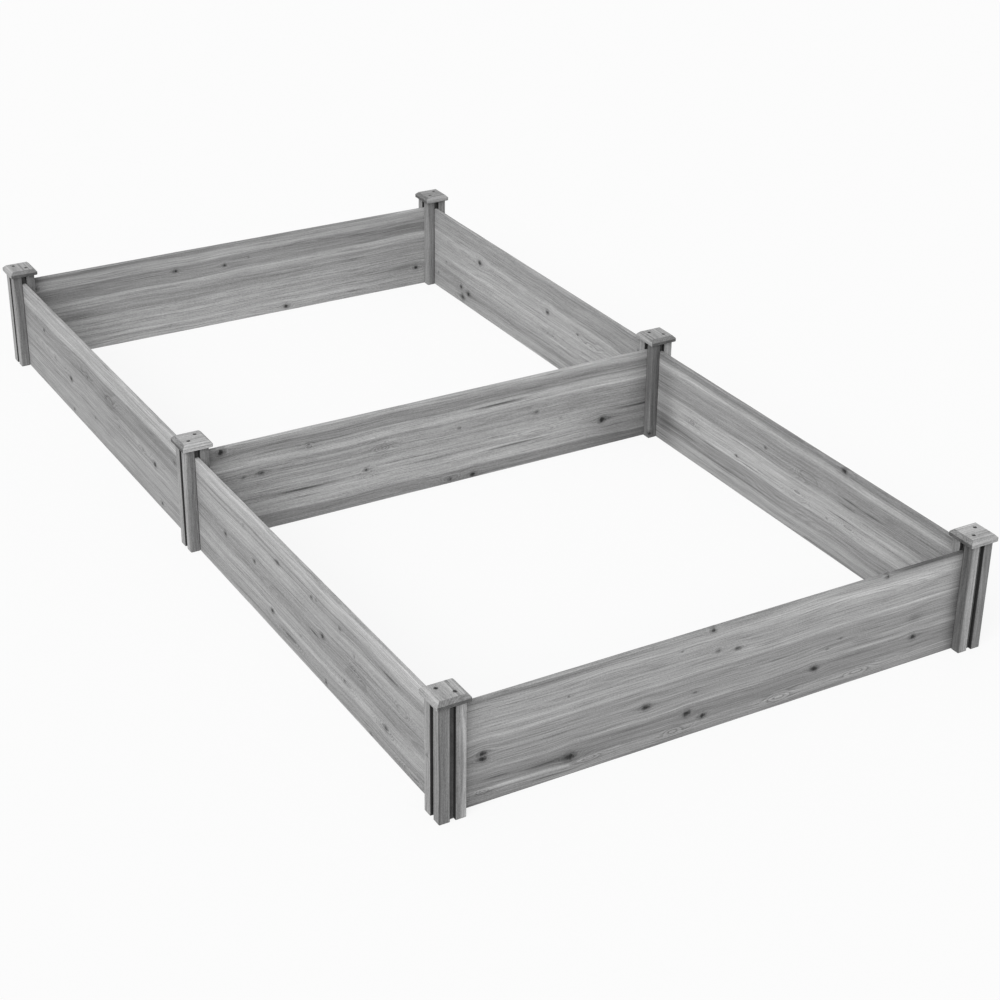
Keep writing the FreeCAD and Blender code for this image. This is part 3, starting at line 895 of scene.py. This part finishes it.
# %% Blackened steel
STEEL_WAVES = (900.0, 900.0, 900.0)
STEEL_MOTTLE = (-0.2, 0.2)         # the noise where the two ends of each range below are reached
STEEL_TONES = (0.05, 0.13)
STEEL_ROUGHNESS = (0.60, 0.36)
STEEL_METALLIC = 0.85
STEEL_RELIEF = 0.1 * MM
STEEL_RELIEF_STRENGTH = 0.2

blackened_steel, steel_tree = new_material("blackened_steel")
steel_place = add_node(steel_tree, "ShaderNodeTexCoord").outputs["Object"]
steel_mottle = stretched_noise(steel_tree, steel_place, STEEL_WAVES, 3.0)
steel_relief = {"Height": steel_mottle, "Strength": STEEL_RELIEF_STRENGTH, "Distance": STEEL_RELIEF}
steel_sockets = {
    "Base Color": spread(steel_tree, steel_mottle, *STEEL_MOTTLE, *STEEL_TONES),
    "Roughness": spread(steel_tree, steel_mottle, *STEEL_MOTTLE, *STEEL_ROUGHNESS),
    "Normal": add_node(steel_tree, "ShaderNodeBump", steel_relief).outputs[0],
}
steel_shader = add_node(steel_tree, "ShaderNodeBsdfPrincipled", steel_sockets)
steel_shader.inputs["Metallic"].default_value = STEEL_METALLIC
add_node(steel_tree, "ShaderNodeOutputMaterial", {"Surface": steel_shader.outputs[0]})
for post in POSTS:
    wear_material(f"{post}_cap_screws", blackened_steel)

# %% [markdown]
# ## Light and floor
#
# The bed stands in plain soft light: an even white sky and one wide, soft sun
# from the upper left.  The sky's and the sun's strengths are chosen so that a
# colour renders about as it is written.
#
# The floor is pale and matt.  To the camera it is mostly white, with just enough
# of its real shading left to keep the bed's shadow.

# %% Light
SKY = 0.45                 # its strength as light; the camera sees it pure white
SUN = 2.6
SUN_FROM = Vector((-0.55, -0.48, 0.68))
SUN_WIDTH = math.radians(50)
FLOOR_DROP = 0.3 * MM      # below the bed's feet, so that no two faces share a place
FLOOR_REACH = 40.0
FLOOR_PALE = 0.8
FLOOR_WHITE_SHARE = 0.85   # of the floor that the camera sees as plain white

sky = bpy.data.worlds.new("sky")
sky.use_nodes = True
sky.node_tree.nodes.clear()


def seen_directly(tree):
    """One for rays from the camera, off gloss and through glass, and zero for the rest."""
    rays = add_node(tree, "ShaderNodeLightPath").outputs
    glossy = sum_node(tree, "MAXIMUM", rays["Is Glossy Ray"], rays["Is Transmission Ray"])
    return sum_node(tree, "MAXIMUM", rays["Is Camera Ray"], glossy)


strength = spread(sky.node_tree, seen_directly(sky.node_tree), 0.0, 1.0, SKY, 1.0)
backdrop = add_node(sky.node_tree, "ShaderNodeBackground", {"Color": (1, 1, 1, 1), "Strength": strength})
add_node(sky.node_tree, "ShaderNodeOutputWorld", {"Surface": backdrop.outputs[0]})
bpy.context.scene.world = sky

sun_light = bpy.data.lights.new("sun", "SUN")
sun_light.energy = SUN
sun_light.angle = SUN_WIDTH
sun = bpy.data.objects.new("sun", sun_light)
sun.rotation_euler = SUN_FROM.to_track_quat("Z", "Y").to_euler()
bpy.context.scene.collection.objects.link(sun)

# %% Floor
pale_floor, floor_tree = new_material("pale_floor")
floor_matt = add_node(floor_tree, "ShaderNodeBsdfDiffuse", {"Color": (FLOOR_PALE,) * 3 + (1,)})
floor_white = add_node(floor_tree, "ShaderNodeEmission", {"Color": (1, 1, 1, 1), "Strength": 1.0})
floor_share = sum_node(floor_tree, "MULTIPLY", seen_directly(floor_tree), FLOOR_WHITE_SHARE)
floor_mix = add_node(floor_tree, "ShaderNodeMixShader",
                     {0: floor_share, 1: floor_matt.outputs[0], 2: floor_white.outputs[0]})
add_node(floor_tree, "ShaderNodeOutputMaterial", {"Surface": floor_mix.outputs[0]})

floor_mesh = bpy.data.meshes.new("floor")
floor_square = ((-1, -1), (1, -1), (1, 1), (-1, 1))
floor_corners = [(x * FLOOR_REACH, y * FLOOR_REACH, -FLOOR_DROP) for x, y in floor_square]
floor_mesh.from_pydata(floor_corners, [], [(0, 1, 2, 3)])
floor_mesh.materials.append(pale_floor)
floor = bpy.data.objects.new("floor", floor_mesh)
bpy.context.scene.collection.objects.link(floor)

# %% [markdown]
# ## Finishing
#
# The colour goes to the screen as it is.

# %% Finish
bpy.context.scene.view_settings.view_transform = "Standard"
